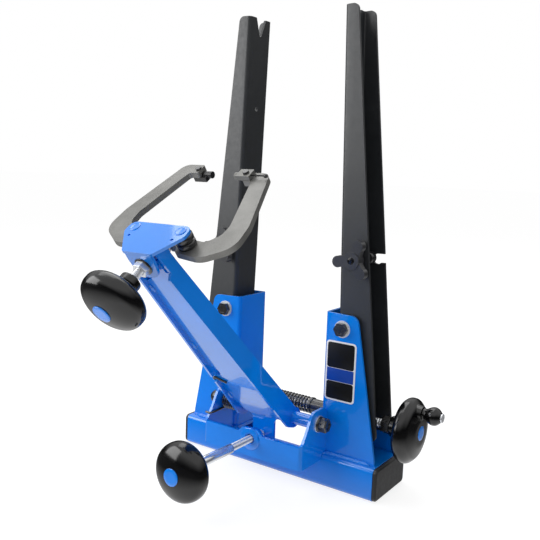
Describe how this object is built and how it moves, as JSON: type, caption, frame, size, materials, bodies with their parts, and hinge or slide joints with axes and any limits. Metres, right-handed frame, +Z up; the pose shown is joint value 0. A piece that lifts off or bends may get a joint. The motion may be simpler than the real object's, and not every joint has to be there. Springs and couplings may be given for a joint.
{
  "type": "bicycle wheel truing stand",
  "caption": "Bench stand that holds a bicycle wheel by its axle between two leaning uprights, with a sprung arm whose screw-fed callipers reach the rim.",
  "frame": {"origin": "on the bench, in the middle of the base tube's underside, straight under the wheel axle", "axes": "+Z up, +X along the base tube to the drive knob, +Y from the callipers to the back of the stand"},
  "size_m": [0.3115, 0.328, 0.4999],
  "materials": {
    "blue_paint": "glossy powder coat",
    "black_paint": "satin black paint",
    "zinc": "bright zinc plate",
    "black_steel": "black oxide",
    "spring_wire": "oiled spring wire",
    "grey_steel": "satin grey coat",
    "black_plastic": "glossy",
    "cap_plastic": "fine matt grain",
    "tip_plastic": "satin",
    "slip_washer": "natural, slippery"
  },
  "bodies": {
    "base": {"base_tube": "blue_paint", "end_cap_left": "cap_plastic", "end_cap_right": "cap_plastic", "pivot_bracket": "blue_paint", "radius_nut": "zinc", "arm_pivot_bolt": "black_steel", "arm_pivot_nut": "black_steel", "arm_pivot_washers": "zinc", "upright_bracket_left": "blue_paint", "upright_bracket_right": "blue_paint", "upright_bolt_left": "black_steel", "upright_bolt_right": "black_steel", "upright_bolt_nuts": "black_steel", "upright_bolt_washers": "zinc", "upright_spacers": "slip_washer", "drive_spring": "spring_wire", "torsion_spring": "spring_wire"},
    "support_arm": {"arm_channel": "blue_paint", "arm_pivot_tube": "blue_paint", "head_plate": "blue_paint", "head_nut": "zinc", "calliper_spacer_left": "black_steel", "calliper_spacer_right": "black_steel", "calliper_pin_left": "blue_paint", "calliper_pin_right": "blue_paint"},
    "drive": {"drive_screw": "zinc", "drive_lock_nut": "black_steel", "drive_knob": "black_plastic", "crank_pin": "zinc"},
    "crank_spinner": {"crank_spinner": "black_plastic"},
    "head_screw": {"head_screw": "zinc"},
    "head_knob": {"head_knob": "black_plastic"},
    "radius_screw": {"radius_screw": "zinc"},
    "radius_knob": {"radius_knob": "black_plastic"},
    "upright_left": {"upright_left": "black_paint", "clamp_nut_left": "black_steel"},
    "clamp_stud_left": {"clamp_stud_left": "black_steel"},
    "clamp_knob_left": {"clamp_knob_left": "black_plastic"},
    "trunnion_left": {"trunnion_left": "black_steel"},
    "sleeve_left": {"sleeve_left": "black_steel"},
    "calliper_left": {"calliper_left": "grey_steel", "calliper_tip_left": "tip_plastic", "calliper_screw_left": "black_steel"},
    "upright_right": {"upright_right": "black_paint", "clamp_nut_right": "black_steel"},
    "clamp_stud_right": {"clamp_stud_right": "black_steel"},
    "clamp_knob_right": {"clamp_knob_right": "black_plastic"},
    "trunnion_right": {"trunnion_right": "black_steel"},
    "sleeve_right": {"sleeve_right": "black_steel"},
    "calliper_right": {"calliper_right": "grey_steel", "calliper_tip_right": "grey_steel", "calliper_screw_right": "black_steel"}
  },
  "joints": [
    {"name": "drive_turn", "type": "hinge", "parent": "base", "child": "drive", "pos_m": [0, 0, 0.073], "axis": [1, 0, 0], "range_deg": [-810, 1110]},
    {"name": "crank_spin", "type": "hinge", "parent": "drive", "child": "crank_spinner", "pos_m": [0.161, 0, 0.094], "axis": [1, 0, 0], "continuous": true},
    {"name": "radius_feed", "type": "slide", "parent": "base", "child": "radius_screw", "axis": [0, 1, 0], "range_m": [-0.0022, 0.01]},
    {"name": "radius_turn", "type": "hinge", "parent": "radius_screw", "child": "radius_knob", "pos_m": [0, -0.15, 0.0495], "axis": [0, 1, 0], "range_deg": [-610, 2850]},
    {"name": "arm_tilt", "type": "hinge", "parent": "base", "child": "support_arm", "pos_m": [0, -0.043, 0.072], "axis": [1, 0, 0], "range_deg": [-6.1, 28.2], "deforming": ["torsion_spring"]},
    {"name": "head_feed", "type": "slide", "parent": "support_arm", "child": "head_screw", "axis": [0, 0.8039, 0.5948], "range_m": [-0.0022, 0.00325]},
    {"name": "head_turn", "type": "hinge", "parent": "head_screw", "child": "head_knob", "pos_m": [0, -0.21148, 0.26827], "axis": [0, 0.8039, 0.5948], "range_deg": [-630, 930]},
    {"name": "upright_left_tilt", "type": "hinge", "parent": "base", "child": "upright_left", "pos_m": [-0.0774, 0, 0.173], "axis": [0, -1, 0], "range_deg": [-3.9, 5.35]},
    {"name": "trunnion_left_turn", "type": "hinge", "parent": "upright_left", "child": "trunnion_left", "pos_m": [-0.0855, 0, 0.073], "axis": [0, -1, 0], "range_deg": [-5.35, 3.9]},
    {"name": "sleeve_left_slide", "type": "slide", "parent": "base", "child": "sleeve_left", "axis": [-1, 0, 0], "range_m": [-0.0093, 0.0068]},
    {"name": "clamp_left_feed", "type": "slide", "parent": "upright_left", "child": "clamp_stud_left", "axis": [0, -1, 0], "range_m": [-0.0009, 0.0009]},
    {"name": "clamp_left_turn", "type": "hinge", "parent": "clamp_stud_left", "child": "clamp_knob_left", "pos_m": [-0.08684, -0.03, 0.246], "axis": [0, -1, 0], "range_deg": [-360, 360]},
    {"name": "calliper_left_swing", "type": "hinge", "parent": "support_arm", "child": "calliper_left", "pos_m": [-0.0265, -0.2207, 0.28073], "axis": [0, -0.5948, 0.8039], "range_deg": [-6.85, 10.1]},
    {"name": "upright_right_tilt", "type": "hinge", "parent": "base", "child": "upright_right", "pos_m": [0.0774, 0, 0.173], "axis": [0, 1, 0], "range_deg": [-3.9, 5.35]},
    {"name": "trunnion_right_turn", "type": "hinge", "parent": "upright_right", "child": "trunnion_right", "pos_m": [0.0855, 0, 0.073], "axis": [0, 1, 0], "range_deg": [-5.35, 3.9]},
    {"name": "sleeve_right_slide", "type": "slide", "parent": "base", "child": "sleeve_right", "axis": [1, 0, 0], "range_m": [-0.0093, 0.0068], "deforming": ["drive_spring"]},
    {"name": "clamp_right_feed", "type": "slide", "parent": "upright_right", "child": "clamp_stud_right", "axis": [0, -1, 0], "range_m": [-0.0009, 0.0009]},
    {"name": "clamp_right_turn", "type": "hinge", "parent": "clamp_stud_right", "child": "clamp_knob_right", "pos_m": [0.08684, -0.03, 0.246], "axis": [0, -1, 0], "range_deg": [-360, 360]},
    {"name": "calliper_right_swing", "type": "hinge", "parent": "support_arm", "child": "calliper_right", "pos_m": [0.0265, -0.2207, 0.28073], "axis": [0, 0.5948, -0.8039], "range_deg": [-6.85, 10.1]}
  ],
  "couplings": [
    {"joint": "radius_feed", "follows": "radius_turn", "m_per_rad": 0.00019894},
    {"joint": "arm_tilt", "follows": "radius_turn", "ratio": 0.0098097},
    {"joint": "head_feed", "follows": "head_turn", "m_per_rad": 0.00019894},
    {"joint": "upright_left_tilt", "follows": "drive_turn", "ratio": 0.0047746},
    {"joint": "trunnion_left_turn", "follows": "drive_turn", "ratio": -0.0047746},
    {"joint": "sleeve_left_slide", "follows": "drive_turn", "m_per_rad": -0.00047746},
    {"joint": "clamp_left_feed", "follows": "clamp_left_turn", "m_per_rad": 0.00011937},
    {"joint": "calliper_left_swing", "follows": "head_turn", "ratio": 0.010753},
    {"joint": "upright_right_tilt", "follows": "drive_turn", "ratio": 0.0047746},
    {"joint": "trunnion_right_turn", "follows": "drive_turn", "ratio": -0.0047746},
    {"joint": "sleeve_right_slide", "follows": "drive_turn", "m_per_rad": -0.00047746},
    {"joint": "clamp_right_feed", "follows": "clamp_right_turn", "m_per_rad": 0.00011937},
    {"joint": "calliper_right_swing", "follows": "head_turn", "ratio": 0.010753}
  ]
}
